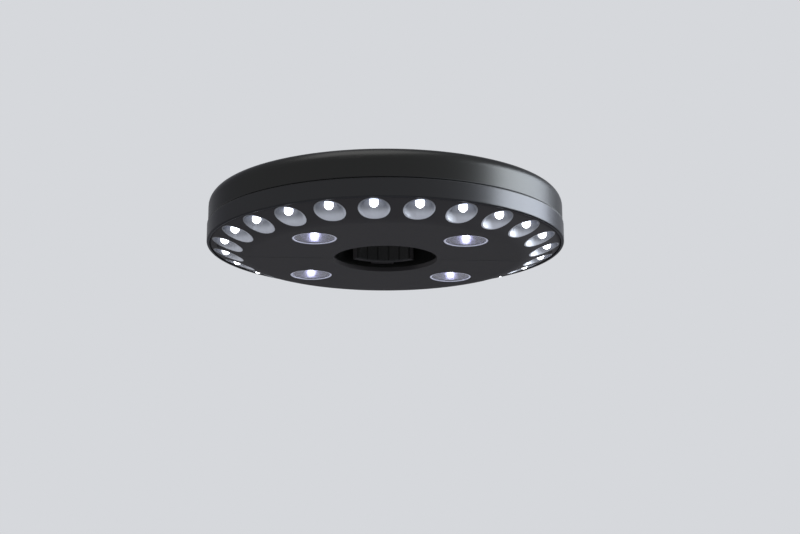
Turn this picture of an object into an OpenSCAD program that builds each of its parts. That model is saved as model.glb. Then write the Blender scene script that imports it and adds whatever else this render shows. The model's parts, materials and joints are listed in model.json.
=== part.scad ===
// Battery light that clamps round the pole of a patio umbrella. The disc is split into a front and a
// rear half, which slide apart on two guide rods. Each half holds twelve ring lights and two spots.
// Origin: on the pole's axis, at the height of the seam between casing and rim band. +Z is up.
// The rear half lies at +Y and the front half is its mirror image at -Y.

/* [Disc] */
// Diameter over the rim band
disc_d = 216; // [206:1:236]
// Diameter of the hole for the pole
hole_d = 63; // [61:0.5:66]
// Height of the casing above the seam
casing_h = 18; // [17.5:0.1:22]
// Height of the rim band below the seam
band_h = 11.6; // [11:0.1:14]
// How far the flat underside lies below the rim band
face_drop = 7.4; // [6.8:0.1:8.4]
// How far the casing is set in from the rim band
casing_step = 0.6; // [0.2:0.1:1.2]
// Radius of the casing's upper edge
top_round = 7.3; // [5:0.1:8.5]
// Slope of the outer part of the underside, in degrees
face_slope = 21; // [18:0.5:24]
// Radius that blends the flat underside into its slope
face_blend = 28; // [15:1:34]

/* [Walls] */
// Thickness of the casing and the face plate
wall = 2.5; // [2.2:0.1:2.8]
// Thickness of the rim band
band_wall = 1.8; // [1.5:0.1:2]
// Thickness of the collar round the hole
collar_wall = 2; // [1.6:0.1:2.4]
// Thickness of the walls along the split
split_wall = 2; // [1.6:0.1:2.4]
// Width of the gap between the two halves
split_gap = 0.4; // [0.3:0.1:1]
// Width of the shadow line between casing and rim band
seam_gap = 0.6; // [0.2:0.1:0.7]
// Play between pieces that are seated in one another
seat_play = 0.1; // [0.05:0.01:0.2]
// Play between pieces that move past one another
move_play = 0.3; // [0.25:0.01:0.4]

/* [Ring lights] */
// Number of ring lights in the whole disc
led_count = 24; // [16:4:24]
// How far the ring of lights is set in from the rim
led_inset = 10.5; // [10.3:0.1:12]
// Radius of a ring light's dome
led_r = 2.5; // [2:0.1:3]
// Radius of a cup where its axis meets the sloped face
cup_r = 8.4; // [7:0.1:8.6]
// Half angle of a cup's cone, in degrees
cup_angle = 25; // [20:1:28]
// Wall of a cup
cup_wall = 0.5; // [0.4:0.05:0.6]
// Depth of a cup along its axis
cup_depth = 6.2; // [5.5:0.1:7]
// How far a dome's tip stands out of the sloped face at its axis
led_proud = 0.9; // [-2:0.1:1.2]

/* [Spot lights] */
// How far the spot lights are set in from the rim
spot_inset = 45.7; // [44.5:0.1:47]
// Radius of a spot light's lens
lens_r = 13; // [11:0.1:13.5]
// How far a lens is set into the underside
lens_recess = 0.2; // [0.1:0.05:0.5]
// Thickness of a lens at its middle
lens_t = 1.2; // [0.9:0.1:1.6]
// Depth of the socket over a spot light
socket_h = 10.6; // [9.5:0.1:11]

/* [Guide rods] */
// Distance of a guide rod from the middle
rod_x = 56; // [55:0.5:62]
// Height of the guide rods above the seam
rod_z = 7; // [6.9:0.1:8]
// Radius of a guide rod
rod_r = 3; // [2.5:0.1:3.2]
// Running play of a rod in its bush
rod_play = 0.06; // [0.03:0.01:0.09]
// How far the halves can be pulled apart
open_travel = 30; // [20:1:32]
// Radius of the wire of a guide spring
guide_wire_r = 0.45; // [0.3:0.05:0.5]

/* [Pole jaws] */
// Radius of the pole that the pads hold
pole_r = 22.3; // [21:0.1:23.5]
// Thickness of a rubber pad
pad_t = 2.5; // [2:0.1:2.8]
// Thickness of the arc that carries a pad
jaw_t = 3.2; // [2.6:0.1:3.4]
// Half of the angle that a pad covers, in degrees
jaw_angle = 42; // [36:1:46]
// Height of a pad
jaw_h = 22; // [18:1:24]
// Width of a jaw's stem
stem_w = 14; // [10:0.5:15]
// Height of a jaw's stem
stem_h = 8; // [6:0.5:9]
// How far a jaw can reach in from the pole's surface
jaw_in = 11.3; // [8:0.1:11.5]

/* [Power] */
// Radius of a battery cell
cell_r = 7.1; // [6.8:0.05:7.2]
// Length of a battery cell
cell_len = 50.5; // [49:0.1:51]
// Distance of the inner cell from the middle
cell_y = 54; // [53.6:0.1:55]
// Thickness of a battery door
door_t = 2.2; // [1.8:0.1:2.4]
// Width of the power button
button_w = 13.6; // [12:0.1:15]
// Height of the power button
button_h = 5.6; // [4.5:0.1:6]
// Travel of the power button
button_travel = 1.2; // [0.8:0.1:1.3]

/* [Hanging bails] */
// Distance between the legs of a bail
bail_w = 30; // [24:1:32]
// Radius of the bail's wire
bail_wire_r = 1.2; // [1:0.1:1.3]
// Length of a bail from its pivot to its far side
bail_len = 12; // [11:0.5:13]

/* [Screws] */
// How far the screws are set in from the rim
screw_inset = 23; // [22:0.1:23.5]
// Radius of a screw's shank
screw_r = 1.5; // [1.2:0.1:1.7]
// Radius of a screw's head
screw_head_r = 2.8; // [2.4:0.1:3]

/* [Hidden] */

REAR = 1;
FRONT = -1;
$fn = 96;
eps = 0.05;  // how far a cut runs past a face, or a boss into its wall

// Disc
disc_r = disc_d / 2;
hole_r = hole_d / 2;
casing_r = disc_r - casing_step;
inner_r = casing_r - wall;
ceiling_z = casing_h - wall;
face_z = -band_h - face_drop;
floor_z = face_z + wall;
band_inner_r = disc_r - band_wall;
plate_gap = 0.4;
plate_edge_r = band_inner_r - plate_gap;
plate_edge_z = -band_h + 0.5;
slope_start_r = plate_edge_r - (plate_edge_z - face_z) / tan(face_slope);
blend_start_r = slope_start_r - face_blend * tan(face_slope / 2);
blend_steps = 8;
plate_edge_t = wall / cos(face_slope);
collar_r = hole_r + collar_wall;
half_gap = split_gap / 2;
tongue_h = 3;
ledge_w = 1.3;
ledge_t = 1.2;

// Ring lights
led_ring_r = disc_r - led_inset;
screw_ring_r = disc_r - screw_inset;
led_step = 360 / led_count;
led_angles = [for (i = [0:led_count / 2 - 1]) -90 + (i + 0.5) * led_step];
cup_mouth_z = plate_edge_z - (plate_edge_r - led_ring_r) * tan(face_slope);
cup_floor_z = cup_mouth_z + cup_depth;
cup_floor_t = 0.6;
strip_t = 0.8;
cup_reach = 7;  // how far below its mouth a cup's cone is drawn before the slope trims it
led_tip_z = cup_mouth_z - led_proud;
led_flange_t = 1;
led_flange_w = 0.4;
board_t = 1.6;
board_z = cup_floor_z + cup_floor_t + 2.4;
board_inner_r = screw_ring_r + 1;
board_outer_r = casing_r - wall - 0.6;
board_split = 2.5;
post_ring_r = board_inner_r + 2;
post_r = 1.8;
post_angles = [-3 * led_step, 0, 3 * led_step];

// Spot lights
spot_ring_r = disc_r - spot_inset;
spot_xy = spot_ring_r / sqrt(2);
socket_wall = 1.6;
lens_flange_w = 1.3;
lens_flange_t = 1;
lens_edge = 1;
lens_bore_r = lens_r - lens_edge;
lens_back_z = face_z + lens_recess + lens_t;
lens_seat_r = lens_r + lens_flange_w;
socket_r = lens_seat_r + move_play;
socket_z = floor_z + socket_h;
dish_flange_t = 0.8;
dish_t = 0.6;
dish_mouth_r = lens_bore_r - seat_play - dish_t;
dish_draft = 5;
dish_mouth_z = lens_back_z + seat_play;
dish_z = floor_z + lens_flange_t + dish_flange_t;
dish_top_z = socket_z - 1.2;
dish_floor_r = dish_mouth_r - (dish_top_z - dish_t - dish_mouth_z) * tan(dish_draft);
spot_led_r = 2.5;
spot_led_len = 7.6;
dish_hole_r = spot_led_r + 0.9;

// Screws
screw_angles = [-75, -30, 30, 75];
screw_boss_r = 4;
plate_boss_r = 3.5;
screw_head_h = 2.2;
screw_head_z = casing_h - 3.5;
screw_end_z = floor_z + 4;
screw_play = 0.1;

// Guide rods
rear_boss_len = 24;
rear_boss_r = rod_r + 3;
bush_r = rod_r + 1.6;
bush_len = 8;
bush_flange_t = 1.2;
bush_flange_r = bush_r + 1.4;
bush_boss_r = bush_r + 2.2;
guide_coil_r = rod_r + 1.2;
guide_turns = 14;
guide_spring_spare = 6.2;  // length that is left over the closed turns when the halves are fully apart
guide_spring_len = open_travel + 2 * guide_wire_r * guide_turns + guide_spring_spare;
rod_head_y = -(bush_len + bush_flange_t + guide_spring_len);
rod_head_t = 2.5;
rod_head_r = rod_r + 2.4;
terminal_t = 0.8;
terminal_r = rod_r + 2.2;
terminal_tab_len = 4;
bush_tab_len = 3.5;
tab_half_w = 1.5;
tab_hole_r = 0.6;
tab_hole_in = 1.6;
rod_tail = 1.5;

// Pole jaws
jaw_low_z = floor_z + 2.5;
pad_back_r = pole_r + pad_t;
jaw_back_r = pad_back_r + jaw_t;
jaw_out = hole_r - jaw_back_r - 0.8;
ear_len = 3;
ear_w = 1.7;
stem_end_y = collar_r + jaw_in + move_play + ear_len;
channel_floor_z = jaw_low_z - move_play;
rail_w = 1.8;
rail_x = stem_w / 2 + ear_w + move_play;
rail_spare = 8;
rail_len = stem_end_y + jaw_out + rail_spare - collar_r;
rail_top_z = jaw_low_z + stem_h + 1;
jaw_coil_r = 3;
jaw_wire_r = 0.35;
jaw_turns = 9;
jaw_spring_len = 24;
stop_y = stem_end_y + jaw_spring_len;
stop_t = 2.5;
nub_r = 2;
nub_len = 2;

// Power
cell_gap = 0.8;
cell_pitch = 2 * cell_r + cell_gap;
cell_far_y = cell_y + cell_pitch;
cell_z = ceiling_z - cell_r - 0.6;
cell_nub_r = 2.7;
cell_nub_len = 1;
cell_play = 0.15;
contact_t = 0.3;
contact_low = 5;
contact_up = 4;
contact_in = 0.8;
contact_coil_r = 3.6;
contact_wire_r = 0.35;
contact_turns = 3;
coil_room = 4.9;
bay_half = (cell_len + coil_room) / 2;
bay_wall = 1.5;
tray_low_z = cell_z - cell_r - 2;
cradle_z = cell_z - 3;
tray_y0 = cell_y - cell_r - cell_play - 0.4;
tray_y1 = cell_far_y + cell_r + cell_play + 0.4;
door_half = bay_half + contact_t + bay_wall + 1.5;
door_y0 = tray_y0 - 0.4;
door_y1 = tray_y1 + 1.1;
wing_t = 1.7;
wing_x = door_half + move_play;
hinge_r = 2;
hinge_y = door_y0 + hinge_r + move_play;
hinge_z = casing_h - hinge_r;
door_pin_r = 1;
door_pin_len = 2.4;
lug_len = 5;
lug_w = 3;
rest_half = door_half * 0.6;
rest_in = 1.2;
rest_out = 2;
rest_t = 1.6;
notch_r = 5;
notch_in = 2;
notch_depth = 1.2;
groove_half = 8;
groove_w = 1;
groove_depth = 0.6;

// Hanging bails
bail_gap = 5.3;
bail_y = door_y1 + bail_gap;
bail_z = casing_h - bail_wire_r - 0.9;
trench_z = bail_z - bail_wire_r - 0.2;
trench_half = bail_w / 2 + bail_wire_r + 1;
trench_y0 = bail_y - bail_wire_r - 1;
trench_y1 = bail_y + bail_len + bail_wire_r + 1;
trench_w = 2 * bail_wire_r + 2;
trench_floor_t = 2.2;
pivot_len = 2;
block_wall = 3;
end_wall_in = 0.8;
end_wall_out = 0.9;
scoop_r = 6;
scoop_lift = 0.8;
bend_r = 3;

// Power button
button_z = casing_h * 0.29;
button_face_y = disc_r - 0.1;
button_flange_w = 1.5;
button_flange_t = 1.2;
button_flange_x = button_w / 2 + button_flange_w;
button_flange_y = sqrt(pow(inner_r, 2) - pow(button_flange_x, 2)) - move_play - button_flange_t;
stem_r = 1.6;
switch_h = 3.5;
plunger_len = 2.4;
plunger_r = 1.5;
switch_front_y = button_flange_y - button_travel - plunger_len - 1;
pcb_y = switch_front_y - switch_h - board_t;
pcb_half = 16;
pcb_low_z = board_z + board_t + 0.8;
pcb_top_z = trench_z - trench_floor_t - 0.5;
chip = [6, 1.6, 4];
chip_x = -11;
chip_drop = 3;
inductor_x = 8;
inductor_r = 2.6;
inductor_h = 4;
switch_half = 3;
rib_w = 3;
rib_grip = 1.7;
rib_lift = 3;
button_coil_r = 2.6;
button_wire_r = 0.25;
button_turns = 4;

// Wires
wire_r = 0.65;
wire_wing_in = 2;  // how far a jumper stands in from the tray's side
wire_edge_in = 3;  // how far a wire's end lies in from an edge

// ---------------------------------------------------------------- helpers

// Leaves a half at the rear or mirrors it to the front
module at_side(side) mirror([0, side < 0 ? 1 : 0, 0]) children();

// Everything on the rear side of the split, from gap outwards
module behind(gap) translate([-disc_d, gap, -disc_d]) cube([2 * disc_d, disc_d, 2 * disc_d]);

// Puts a copy at a radius and an angle measured from +Y towards +X
module on_ring(r, angle) rotate([0, 0, -angle]) translate([0, r, 0]) children();

// A copy at +X and one at -X
module both_sides() for (s = [-1, 1]) scale_x(s) children();
module scale_x(s) mirror([s < 0 ? 1 : 0, 0, 0]) children();

// A cylinder that runs along +Y from the origin
module rod_y(r, len) rotate([-90, 0, 0]) cylinder(r = r, h = len);

// A cylinder that runs along +X from the origin
module rod_x_axis(r, len) rotate([0, 90, 0]) cylinder(r = r, h = len);

// A block with its lowest corner and its highest corner
module block(low, high) translate(low) cube(high - low);

// Part of a ring in the section plane, between two angles
module arc_band(centre, r_out, r_in, a0, a1) {
  reach = 2 * r_out;
  translate(centre) intersection() {
    difference() {
      circle(r = r_out);
      circle(r = r_in);
    }
    polygon([[0, 0], reach * [cos(a0), sin(a0)], reach * [cos(a1), sin(a1)]]);
  }
}

// A coil spring along Z: wire with six sides, drawn with eight rings of points to a turn
function coil_centre(i, n, r, len, turns, wr) =
  [r * cos(360 * turns * i / n), r * sin(360 * turns * i / n), wr + (len - 2 * wr) * i / n];
function coil_ring(i, n, r, len, turns, wr) =
  let (a = 360 * turns * i / n, lead = atan((len - 2 * wr) / (turns * 2 * PI * r)))
  [for (k = [0:5]) coil_centre(i, n, r, len, turns, wr)
    + wr * cos(60 * k) * [cos(a), sin(a), 0]
    + wr * sin(60 * k) * [sin(a) * sin(lead), -cos(a) * sin(lead), cos(lead)]];
function coil_gap(n, r, len, turns, wr) =
  min([for (i = [0:n - 8]) norm(coil_centre(i + 8, n, r, len, turns, wr)
    - coil_centre(i, n, r, len, turns, wr))]) - 2 * wr;
module coil(r, len, turns, wr) {
  n = turns * 8;
  points = [for (i = [0:n], p = coil_ring(i, n, r, len, turns, wr)) p];
  sides = [for (i = [0:n - 1], k = [0:5], f = [
      [6 * i + k, 6 * i + (k + 1) % 6, 6 * i + 6 + k],
      [6 * i + (k + 1) % 6, 6 * i + 6 + (k + 1) % 6, 6 * i + 6 + k]]) f];
  caps = [for (k = [1:4], f = [[0, k + 1, k], [6 * n, 6 * n + k, 6 * n + k + 1]]) f];
  echo(str("coil of radius ", r, ": least gap between turns ", coil_gap(n, r, len, turns, wr)));
  polyhedron(points = points, faces = concat(sides, caps));
}

// A straight jumper wire between two points
module jumper(from, to) {
  step = to - from;
  translate(from) rotate([0, acos(step[2] / norm(step)), atan2(step[1], step[0])])
    cylinder(r = wire_r, h = norm(step));
}

// ---------------------------------------------------------------- shells

// Outline of the casing's inside or outside, drawn from the axis
module casing_outline(r, top, round_r) {
  square([r - round_r, top]);
  square([r, top - round_r]);
  translate([r - round_r, top - round_r]) circle(r = round_r);
}

module casing_section() difference() {
  casing_outline(casing_r, casing_h, top_round);
  translate([0, -eps]) casing_outline(inner_r, ceiling_z + eps, top_round - wall);
  translate([-eps, -eps]) square([collar_r - collar_wall / 2, casing_h + 2 * eps]);
}

// The room inside the casing, for trimming what is built against its wall
module casing_room() rotate_extrude()
  casing_outline(inner_r + wall / 2, ceiling_z + wall / 2, top_round - wall / 2);

module casing(side) color([0.41, 0.42, 0.44]) at_side(side) difference() {
  union() {
    intersection() {
      union() {
        rotate_extrude() casing_section();
        translate([0, 0, floor_z]) cylinder(r = collar_r, h = casing_h - floor_z);
        rotate_extrude() translate([inner_r, -tongue_h])
          square([band_inner_r - seat_play - inner_r, tongue_h + wall]);
      }
      behind(half_gap);
    }
    intersection() {
      casing_room();
      both_sides() block([collar_r - eps, half_gap, 0], [casing_r, half_gap + split_wall, casing_h]);
    }
    for (a = screw_angles) on_ring(screw_ring_r, a) cylinder(r = screw_boss_r, h = ceiling_z + eps);
    both_sides() translate([rod_x, half_gap, rod_z])
      if (side == REAR) rod_y(rear_boss_r, rear_boss_len - half_gap);
      else rod_y(bush_boss_r, bush_len - half_gap);
    both_sides() block([door_half, door_y0, ceiling_z - lug_w],
      [door_half + lug_w, door_y0 + lug_len, ceiling_z + eps]);
    block([-rest_half, door_y1 - rest_in, ceiling_z - rest_t],
      [rest_half, door_y1 + rest_out, ceiling_z + eps]);
    block([-trench_half - block_wall, trench_y0 - end_wall_in, trench_z - trench_floor_t],
      [trench_half + block_wall, trench_y1 + end_wall_out, ceiling_z + eps]);
    if (side == REAR) both_sides() block([pcb_half - rib_w / 2, pcb_y - rib_grip, pcb_low_z + rib_lift],
      [pcb_half + rib_w / 2, pcb_y + board_t + rib_grip, ceiling_z + eps]);
  }
  translate([0, 0, floor_z - eps]) cylinder(r = hole_r, h = casing_h - floor_z + 2 * eps);
  jaw_window();
  door_cut();
  bail_cut();
  for (a = screw_angles) on_ring(screw_ring_r, a) {
    translate([0, 0, -eps]) cylinder(r = screw_r + screw_play, h = casing_h);
    translate([0, 0, screw_head_z]) cylinder(r = screw_head_r + move_play, h = casing_h);
  }
  both_sides() translate([rod_x, -eps, rod_z])
    if (side == REAR) rod_y(rod_r + seat_play / 2, rear_boss_len + 2 * eps);
    else rod_y(bush_r + seat_play / 2, bush_len + 2 * eps);
  if (side == REAR) {
    translate([0, inner_r - wall, button_z])
      capsule(button_w + 2 * move_play, button_h + 2 * move_play, 3 * wall);
    both_sides() block([pcb_half - rib_w, pcb_y - seat_play / 2, pcb_low_z],
      [pcb_half + seat_play, pcb_y + board_t + seat_play / 2, pcb_top_z + seat_play]);
  }
}

module jaw_window() block([-stem_w / 2 - move_play, hole_r * 0.8, channel_floor_z],
  [stem_w / 2 + move_play, collar_r + 1, jaw_low_z + stem_h + move_play]);

// Opening for the battery door, its hinge pins and a thumb notch
module door_cut() {
  block([-door_half, door_y0, ceiling_z - eps], [door_half, door_y1, casing_h + eps]);
  translate([-door_half - door_pin_len - move_play, hinge_y, hinge_z])
    rod_x_axis(door_pin_r + eps, 2 * (door_half + door_pin_len + move_play));
  block([-door_half, door_y0, hinge_z - hinge_r - move_play], [door_half, hinge_y + hinge_r, ceiling_z]);
  translate([0, door_y1 - notch_in, casing_h - notch_depth]) cylinder(r = notch_r, h = casing_h);
}

// Trench and pivot holes for the bail, with an island in the middle
module bail_cut() {
  difference() {
    block([-trench_half, trench_y0, trench_z], [trench_half, trench_y1, casing_h + eps]);
    block([-trench_half + trench_w, trench_y0 - eps, 0],
      [trench_half - trench_w, trench_y1 - trench_w, casing_h]);
  }
  translate([0, trench_y1 - trench_w, trench_z + scoop_lift]) cylinder(r = scoop_r, h = casing_h);
  translate([-trench_half - pivot_len, bail_y, bail_z])
    rod_x_axis(bail_wire_r + eps, 2 * (trench_half + pivot_len));
}

module rim_band(side) color([0.45, 0.46, 0.48]) at_side(side) intersection() {
  rotate_extrude() {
    edge = 0.9;
    translate([band_inner_r, -band_h]) square([band_wall - edge, band_h - seam_gap]);
    translate([band_inner_r, -band_h + edge]) square([band_wall, band_h - seam_gap - edge]);
    translate([disc_r - edge, -band_h + edge]) circle(r = edge);
    translate([band_inner_r - ledge_w, plate_edge_z + plate_edge_t + seat_play])
      square([ledge_w + eps, ledge_t]);
  }
  behind(half_gap);
}

// Everything above the surface that lies a distance t above the underside, drawn from the axis
module face_outline(t) {
  centre = [blend_start_r, face_z + face_blend];
  bend = [for (i = [0:blend_steps]) let (a = face_slope * i / blend_steps)
    centre + (face_blend - t) * [sin(a), -cos(a)]];
  far = bend[blend_steps] + disc_r * [cos(face_slope), sin(face_slope)];
  polygon(concat([[0, face_z + t]], bend, [far, [far[0], disc_r], [0, disc_r]]));
}

// A layer of the sloped and the flat underside, between two depths and two radii
module face_layer(t0, t1, r0, r1) intersection() {
  difference() {
    face_outline(t0);
    face_outline(t1);
  }
  translate([r0, face_z]) square([r1 - r0, face_drop + casing_h]);
}

// Solid cone of a cup, grown by a wall
module cup_cone(grow) {
  low = cup_mouth_z - cup_reach;
  high = cup_floor_z;
  r_low = cup_r + cup_reach * tan(cup_angle) + grow;
  r_high = cup_r - cup_depth * tan(cup_angle) + grow;
  translate([0, 0, low]) cylinder(r1 = r_low, r2 = r_high, h = high - low);
}

module face_plate(side) color([0.36, 0.36, 0.37]) at_side(side) difference() {
  union() {
    intersection() {
      rotate_extrude() face_layer(0, wall, hole_r, plate_edge_r);
      behind(half_gap);
    }
    both_sides() block([collar_r + seat_play, half_gap, floor_z - eps],
      [slope_start_r, half_gap + split_wall, -seat_play]);
    both_sides() block([slope_start_r - eps, half_gap, floor_z + 3],
      [plate_edge_r - 4, half_gap + split_wall, -seat_play]);
    for (a = screw_angles) on_ring(screw_ring_r, a) translate([0, 0, floor_z - eps])
      cylinder(r = plate_boss_r, h = -floor_z - seat_play + eps);
    for (a = post_angles) on_ring(post_ring_r, a) translate([0, 0, floor_z])
      cylinder(r = post_r, h = board_z - floor_z, $fn = 32);
    both_sides() translate([spot_xy, spot_xy, floor_z - eps])
      cylinder(r = socket_r + socket_wall, h = socket_h + eps);
    block([-rail_x - rail_w, collar_r + seat_play, floor_z - eps],
      [rail_x + rail_w, collar_r + rail_len, channel_floor_z]);
    both_sides() block([rail_x, collar_r + seat_play, floor_z - eps],
      [rail_x + rail_w, collar_r + rail_len, rail_top_z]);
    block([-rail_x - rail_w, stop_y, floor_z - eps],
      [rail_x + rail_w, stop_y + stop_t, tray_low_z - seat_play]);
    translate([0, stop_y - nub_len, jaw_low_z + stem_h / 2]) rod_y(nub_r, nub_len + eps);
  }
  for (a = led_angles) on_ring(led_ring_r, a) cup_cone(cup_wall + seat_play);
  both_sides() translate([spot_xy, spot_xy, 0]) {
    translate([0, 0, face_z - eps]) cylinder(r = lens_r + seat_play, h = wall + 1);
    translate([0, 0, floor_z]) cylinder(r = socket_r, h = socket_h + eps);
  }
  for (a = screw_angles) on_ring(screw_ring_r, a) translate([0, 0, screw_end_z - 1])
    cylinder(r = screw_r + eps, h = -screw_end_z + 1 + eps);
}

// ---------------------------------------------------------------- ring lights

// Twelve cups moulded on one strip that lies on the inside of the sloped face
module cup_ring(side) color([0.62, 0.63, 0.66]) at_side(side) difference() {
  union() {
    intersection() {
      rotate_extrude() face_layer(wall + seat_play, wall + seat_play + strip_t,
        post_ring_r + post_r + 0.5, plate_edge_r - ledge_w - 1);
      behind(board_split);
    }
    for (a = led_angles) on_ring(led_ring_r, a) cup_cone(cup_wall);
  }
  for (a = led_angles) on_ring(led_ring_r, a) {
    translate([0, 0, -cup_floor_t]) cup_cone(-0.01);
    translate([0, 0, cup_floor_z - 2]) cylinder(r = led_r + led_flange_w, h = 3);
  }
  below_face();
}

// Everything below the sloped face
module below_face() rotate_extrude() difference() {
  translate([hole_r, face_z - casing_h]) square([disc_r, disc_r]);
  face_outline(0);
}

module ring_leds(side) color([0.93, 0.95, 1]) at_side(side) for (a = led_angles) on_ring(led_ring_r, a) {
  translate([0, 0, led_tip_z + led_r]) sphere(r = led_r, $fn = 48);
  translate([0, 0, led_tip_z + led_r]) cylinder(r = led_r, h = board_z - led_tip_z - led_r, $fn = 48);
  translate([0, 0, board_z - led_flange_t])
    cylinder(r = led_r + led_flange_w * 0.8, h = led_flange_t, $fn = 48);
}

module ring_board(side) color([0.12, 0.3, 0.17]) at_side(side) difference() {
  intersection() {
    translate([0, 0, board_z]) difference() {
      cylinder(r = board_outer_r, h = board_t);
      translate([0, 0, -eps]) cylinder(r = board_inner_r, h = board_t + 2 * eps);
    }
    behind(board_split);
  }
  for (a = screw_angles) on_ring(screw_ring_r, a) translate([0, 0, board_z - eps])
    cylinder(r = screw_boss_r + move_play, h = board_t + 2 * eps);
}

// ---------------------------------------------------------------- spot lights

// Clear caps with a hollow back
module spot_lenses(side) color([0.75, 0.77, 0.9, 0.6]) at_side(side) both_sides()
  translate([spot_xy, spot_xy, 0]) difference() {
    union() {
      translate([0, 0, face_z + lens_recess]) cylinder(r = lens_r, h = wall - lens_recess + eps);
      translate([0, 0, floor_z]) cylinder(r = lens_seat_r, h = lens_flange_t);
    }
    translate([0, 0, lens_back_z]) cylinder(r = lens_bore_r, h = wall + lens_flange_t);
  }

// Steep tubs whose mouths reach down into the backs of the lenses
module spot_reflectors(side) color([0.8, 0.81, 0.84]) at_side(side) both_sides()
  translate([spot_xy, spot_xy, 0]) difference() {
    union() {
      translate([0, 0, dish_z - dish_flange_t]) cylinder(r = lens_seat_r, h = dish_flange_t);
      translate([0, 0, dish_mouth_z])
        cylinder(r1 = dish_mouth_r + dish_t, r2 = dish_floor_r + dish_t, h = dish_top_z - dish_mouth_z);
    }
    translate([0, 0, dish_mouth_z])
      cylinder(r1 = dish_mouth_r, r2 = dish_floor_r, h = dish_top_z - dish_t - dish_mouth_z);
    translate([0, 0, dish_mouth_z - eps]) cylinder(r = dish_hole_r, h = dish_top_z - dish_mouth_z + 2 * eps);
  }

module spot_leds(side) color([0.95, 0.96, 1]) at_side(side) both_sides() translate([spot_xy, spot_xy, 0]) {
  translate([0, 0, socket_z - spot_led_len]) sphere(r = spot_led_r, $fn = 48);
  translate([0, 0, socket_z - spot_led_len]) cylinder(r = spot_led_r, h = spot_led_len, $fn = 48);
}

module spot_boards(side) color([0.12, 0.3, 0.17]) at_side(side) both_sides()
  translate([spot_xy, spot_xy, socket_z]) cylinder(r = socket_r + socket_wall, h = board_t);

// ---------------------------------------------------------------- guide rods

module guide_rods() color([0.78, 0.79, 0.8]) both_sides() translate([rod_x, 0, rod_z]) {
  translate([0, rod_head_y, 0]) rod_y(rod_r, rear_boss_len + terminal_t + rod_tail - rod_head_y);
  translate([0, rod_head_y - rod_head_t, 0]) rod_y(rod_head_r, rod_head_t + eps);
}

// Push-on washers with a solder tab, which hold the rods in the rear half
module rod_terminals() color([0.8, 0.68, 0.35]) both_sides() translate([rod_x, rear_boss_len, rod_z])
  difference() {
    union() {
      rod_y(terminal_r, terminal_t);
      block([0, 0, -tab_half_w], [terminal_r + terminal_tab_len, terminal_t, tab_half_w]);
    }
    translate([0, -eps, 0]) rod_y(rod_r + eps, terminal_t + 2 * eps);
    translate([terminal_r + terminal_tab_len - tab_hole_in, -eps, 0]) rod_y(tab_hole_r, terminal_t + 2 * eps);
  }

module guide_springs() color([0.7, 0.71, 0.73]) both_sides()
  translate([rod_x, rod_head_y, rod_z]) rotate([-90, 0, 0])
    coil(guide_coil_r, guide_spring_len, guide_turns, guide_wire_r);

// Flanged bronze bushes in the front half, with a solder tab on the flange
module rod_bushes() color([0.72, 0.52, 0.28]) at_side(FRONT) both_sides() translate([rod_x, 0, rod_z])
  difference() {
    union() {
      translate([0, half_gap, 0]) rod_y(bush_r, bush_len - half_gap + eps);
      translate([0, bush_len, 0]) rod_y(bush_flange_r, bush_flange_t);
      block([0, bush_len, -tab_half_w],
        [bush_flange_r + bush_tab_len, bush_len + bush_flange_t, tab_half_w]);
    }
    translate([0, -eps, 0]) rod_y(rod_r + rod_play, bush_len + bush_flange_t + 2 * eps);
  }

// ---------------------------------------------------------------- pole jaws

// Part of a ring that faces the pole, seen from above
module jaw_arc(r_in, r_out, h) {
  translate([0, 0, jaw_low_z]) linear_extrude(h)
    arc_band([0, 0], r_out, r_in, 90 - jaw_angle, 90 + jaw_angle);
}

module jaw(side) color([0.2, 0.2, 0.21]) at_side(side) {
  stem_y = pad_back_r + jaw_t / 2;
  jaw_arc(pad_back_r + seat_play / 2, jaw_back_r, jaw_h);
  block([-stem_w / 2, stem_y, jaw_low_z], [stem_w / 2, stem_end_y, jaw_low_z + stem_h]);
  block([-stem_w / 2 - ear_w, stem_end_y - ear_len, jaw_low_z],
    [stem_w / 2 + ear_w, stem_end_y, jaw_low_z + stem_h]);
  translate([0, stem_end_y - eps, jaw_low_z + stem_h / 2]) rod_y(nub_r, nub_len + eps);
}

module jaw_pad(side) color([0.1, 0.1, 0.1]) at_side(side) difference() {
  jaw_arc(pole_r, pad_back_r, jaw_h);
  for (k = [-1.5:1:1.5]) rotate([0, 0, k * jaw_angle / 2.4])
    block([-0.5, pole_r - 1, jaw_low_z - eps], [0.5, pole_r + 0.8, jaw_low_z + jaw_h + eps]);
}

module jaw_spring(side) color([0.7, 0.71, 0.73]) at_side(side)
  translate([0, stem_end_y, jaw_low_z + stem_h / 2]) rotate([-90, 0, 0])
    coil(jaw_coil_r, jaw_spring_len, jaw_turns, jaw_wire_r);

// ---------------------------------------------------------------- power

module battery_tray(side) color([0.14, 0.14, 0.15]) at_side(side) difference() {
  union() {
    block([-wing_x - wing_t, tray_y0, tray_low_z], [wing_x + wing_t, tray_y1, cradle_z]);
    both_sides() block([bay_half + contact_t, tray_y0, tray_low_z],
      [bay_half + contact_t + bay_wall, tray_y1, cell_z + cell_r - 2]);
    both_sides() block([wing_x, hinge_y + 5, tray_low_z], [wing_x + wing_t, tray_y1, ceiling_z]);
  }
  for (y = [cell_y, cell_far_y]) translate([-bay_half, y, cell_z])
    rod_x_axis(cell_r + cell_play, 2 * bay_half);
  block([-bay_half - contact_t - seat_play / 2, tray_y0 + 0.6, cell_z - cell_r - seat_play],
    [-bay_half + seat_play, tray_y1 - 0.6, casing_h]);
  block([bay_half - seat_play, tray_y0 + 0.6, cell_z - cell_r - seat_play],
    [bay_half + contact_t + seat_play / 2, tray_y1 - 0.6, casing_h]);
}

module cell() {
  rod_x_axis(cell_r, cell_len - cell_nub_len);
  translate([cell_len - cell_nub_len - eps, 0, 0]) rod_x_axis(cell_nub_r, cell_nub_len + eps);
}

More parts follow.
